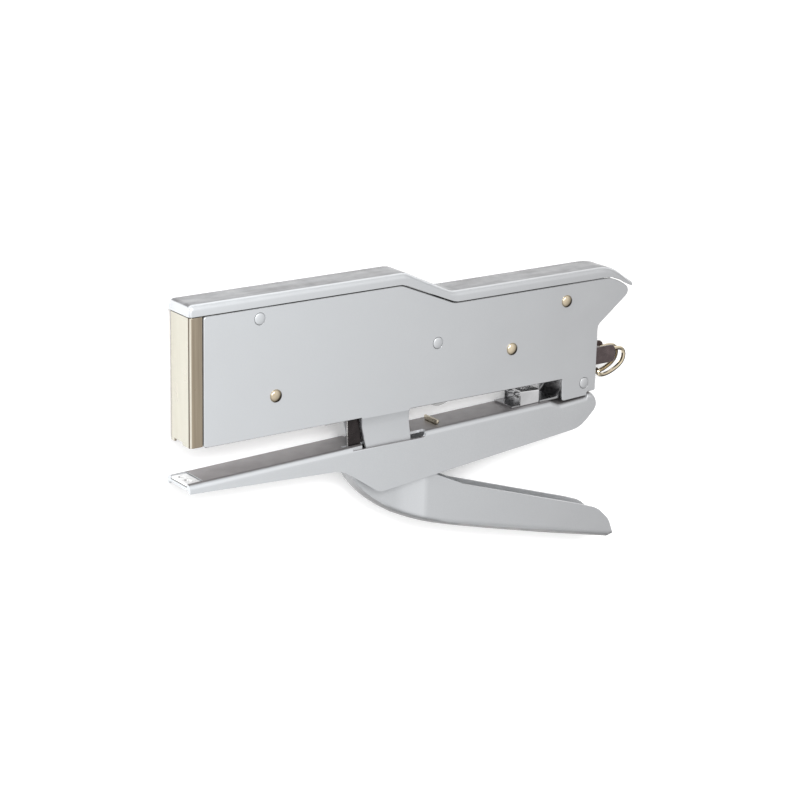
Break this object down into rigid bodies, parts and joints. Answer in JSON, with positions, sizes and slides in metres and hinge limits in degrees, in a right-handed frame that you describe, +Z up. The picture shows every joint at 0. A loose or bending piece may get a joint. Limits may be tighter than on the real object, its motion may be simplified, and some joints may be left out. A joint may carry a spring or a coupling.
{
  "type": "plier stapler",
  "caption": "All-metal plier stapler with a stepped body, slim lower jaw, squeeze handle, hammer lever, driver and a rear catch with a pull loop.",
  "frame": {"origin": "centre of the bounding box's underside, the tool lying on its far side", "axes": "+X towards the tool's rear, +Y towards the top of its body, +Z up through its width, towards the near side"},
  "size_m": [0.1681, 0.1024, 0.0136],
  "materials": {
    "silver_paint": "satin silver lacquer over sheet steel",
    "nickel": "bright nickel plate, slightly warm",
    "bright_steel": "zinc-plated sheet or wire",
    "chrome": "bright chrome",
    "dark_steel": "blackened spring steel with bright sheared edges",
    "catch_steel": "dark brown-black finish"
  },
  "bodies": {
    "body": {"side_plate_near": "silver_paint", "side_plate_far": "silver_paint", "top_cover": "silver_paint", "front_plate": "nickel", "magazine_channel": "bright_steel", "staple_rail": "bright_steel", "front_rivet": "nickel", "rear_rivet": "nickel", "lever_pivot_rivet": "nickel", "cover_rivet": "silver_paint", "spacer_rivet": "silver_paint", "arm_pivot_rivet": "silver_paint", "handle_pivot_pin": "bright_steel", "lever_spring": "bright_steel"},
    "lower_arm": {"lower_arm": "silver_paint", "anvil_plate": "bright_steel", "pivot_bracket": "chrome", "spring_box": "bright_steel", "web_lug": "nickel", "arm_spring": "chrome"},
    "handle": {"handle": "silver_paint", "link_pin": "bright_steel"},
    "hammer": {"hammer_lever": "dark_steel"},
    "driver": {"driver_blade": "bright_steel"},
    "rod": {"pusher_rod": "bright_steel", "rear_catch": "catch_steel", "pusher_spring": "bright_steel"},
    "pusher": {"pusher_shoe": "dark_steel"},
    "loop": {"pull_loop": "nickel"}
  },
  "joints": [
    {"name": "handle_squeeze", "type": "hinge", "parent": "body", "child": "handle", "pos_m": [-0.01307, -0.00745, 0.0065], "axis": [0, 0, 1], "range_deg": [0, 16], "stiffness_Nm_per_rad": 1, "springref_deg": -8.59},
    {"name": "arm_close", "type": "hinge", "parent": "body", "child": "lower_arm", "pos_m": [0.06333, 0.00545, 0.0065], "axis": [0, 0, -1], "range_deg": [0, 4], "deforming": ["arm_spring"]},
    {"name": "hammer_drop", "type": "hinge", "parent": "body", "child": "hammer", "pos_m": [0.05463, 0.03395, 0.0065], "axis": [0, 0, 1], "range_deg": [0, 2.4], "deforming": ["lever_spring"]},
    {"name": "driver_stroke", "type": "slide", "parent": "body", "child": "driver", "axis": [0, -1, 0], "range_m": [0, 0.00573]},
    {"name": "catch_pull", "type": "slide", "parent": "body", "child": "rod", "axis": [1, 0, 0], "range_m": [0, 0.11]},
    {"name": "pusher_slide", "type": "slide", "parent": "rod", "child": "pusher", "axis": [1, 0, 0], "range_m": [0, 0.1], "stiffness_N_per_m": 12, "springref_m": -0.12, "deforming": ["pusher_spring"]},
    {"name": "loop_swing", "type": "hinge", "parent": "rod", "child": "loop", "pos_m": [0.07393, 0.01315, 0.0065], "axis": [0, 0, 1], "range_deg": [0, 80]}
  ],
  "couplings": [
    {"joint": "arm_close", "follows": "handle_squeeze", "ratio": 0.25},
    {"joint": "hammer_drop", "follows": "handle_squeeze", "ratio": 0.1497},
    {"joint": "driver_stroke", "follows": "handle_squeeze", "m_per_rad": 0.02045}
  ]
}
